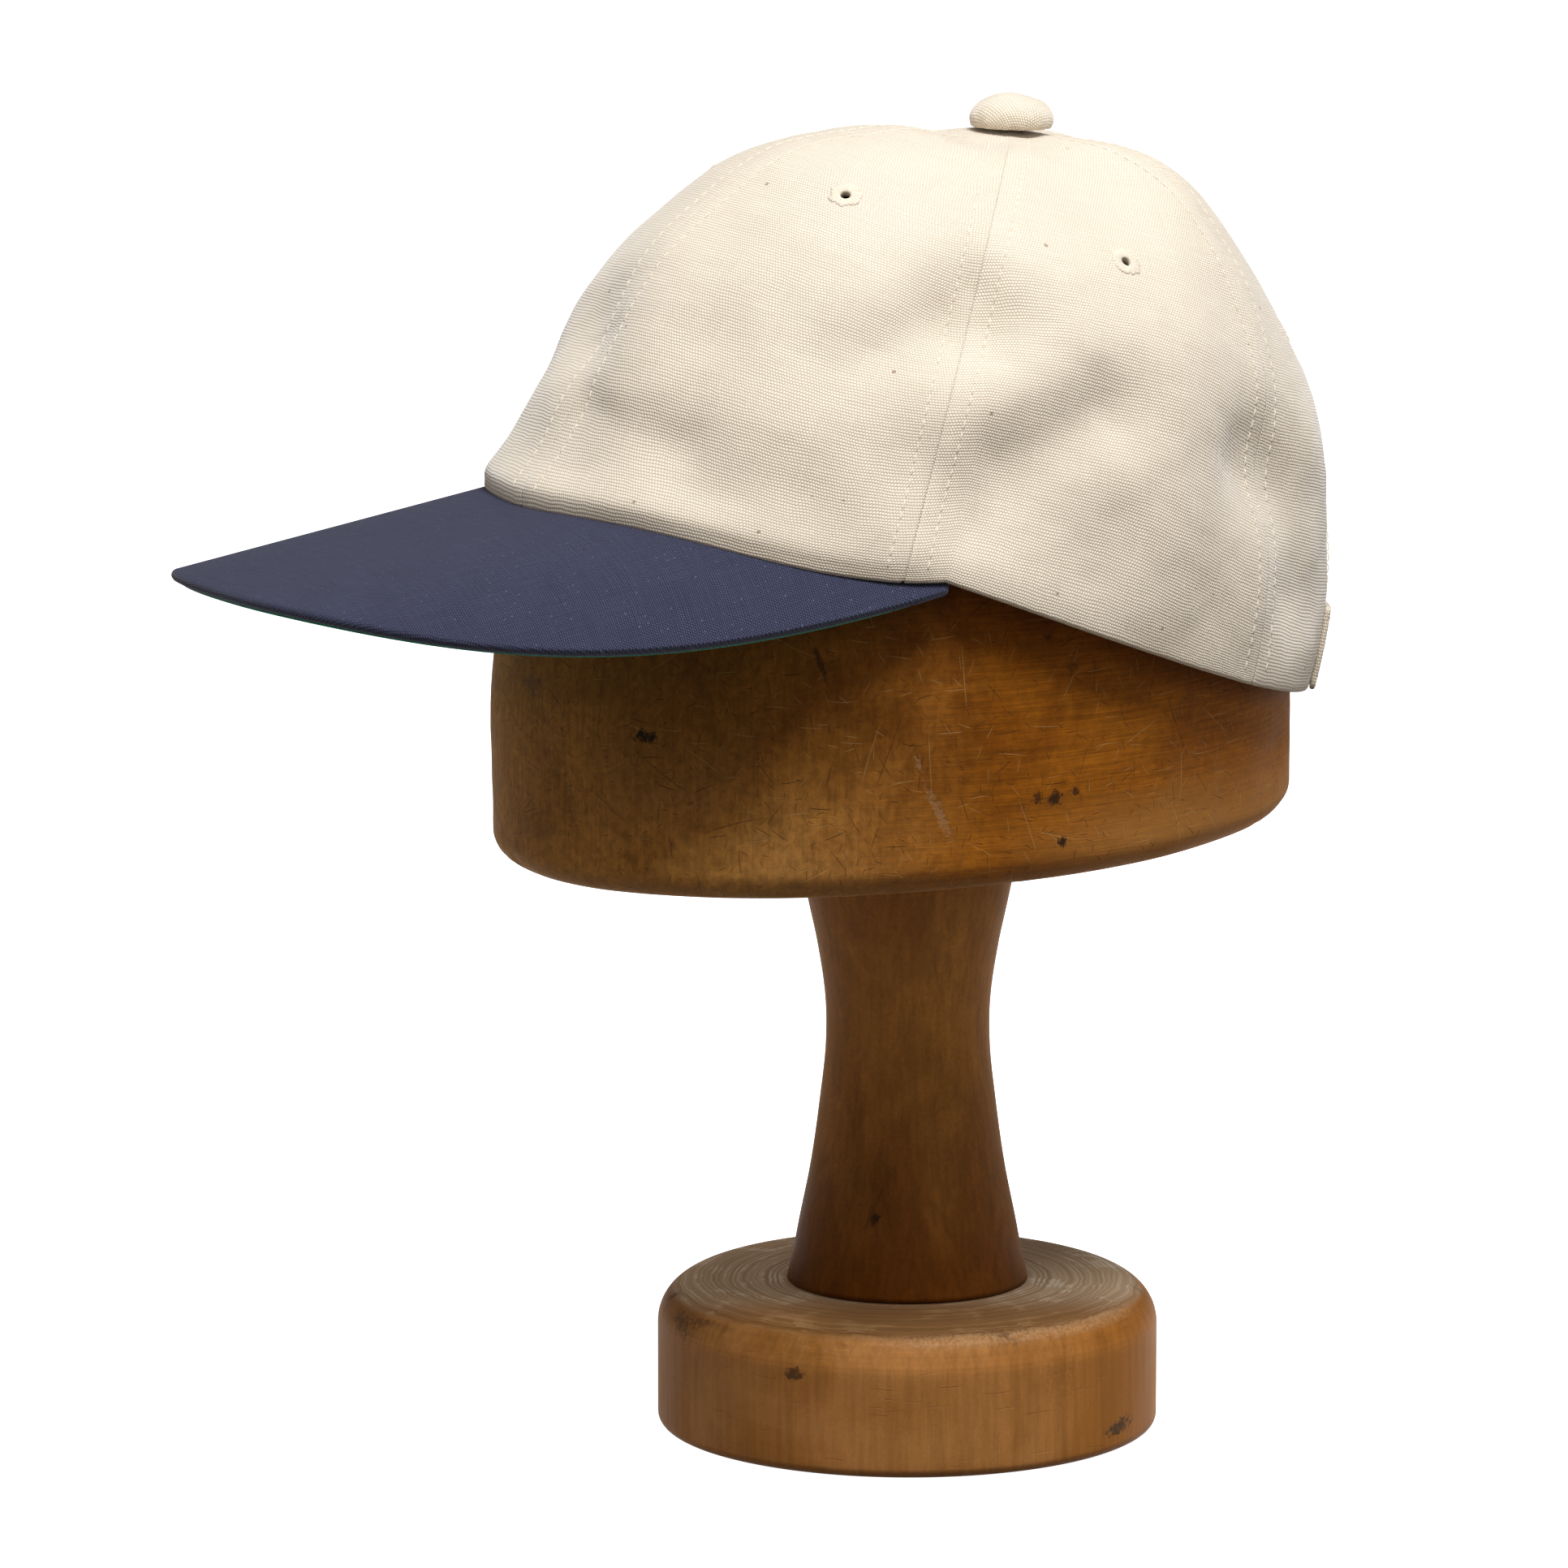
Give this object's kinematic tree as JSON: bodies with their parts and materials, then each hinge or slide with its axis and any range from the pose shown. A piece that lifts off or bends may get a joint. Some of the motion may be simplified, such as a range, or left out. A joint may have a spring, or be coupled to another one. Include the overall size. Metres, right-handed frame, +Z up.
{
  "type": "cap on a wooden hat stand",
  "caption": "Canvas cap with a long dark peak, sewn eyelets, covered button and strap back, resting on an oval wooden block with a turned neck and round foot.",
  "frame": {"origin": "centre of the stand's underside, on the surface that it stands on", "axes": "+Z up, the peak points to -Y, the wearer's left is +X"},
  "size_m": [0.1608, 0.2884, 0.3118],
  "materials": {
    "canvas": "unbleached plain-weave cotton canvas, matte",
    "navy": "dark navy cotton, matte",
    "green": "green cotton, matte",
    "thread": "ecru sewing thread",
    "metal": "worn brass",
    "block_wood": "aged brown wood, waxed, scratched",
    "neck_wood": "turned dark brown wood, waxed",
    "base_wood": "turned warm brown wood, waxed, soft gloss"
  },
  "bodies": {
    "root": {"front_left_panel": "canvas", "front_right_panel": "canvas", "side_left_panel": "canvas", "side_right_panel": "canvas", "back_left_panel": "canvas", "back_right_panel": "canvas", "front_left_eyelet": "thread", "front_right_eyelet": "thread", "side_left_eyelet": "thread", "side_right_eyelet": "thread", "back_left_eyelet": "thread", "back_right_eyelet": "thread", "button": "canvas", "peak": "navy", "undervisor": "green", "strap": "canvas", "buckle": "metal", "hat_block": "block_wood", "stand_neck": "neck_wood", "stand_base": "base_wood"}
  },
  "joints": []
}
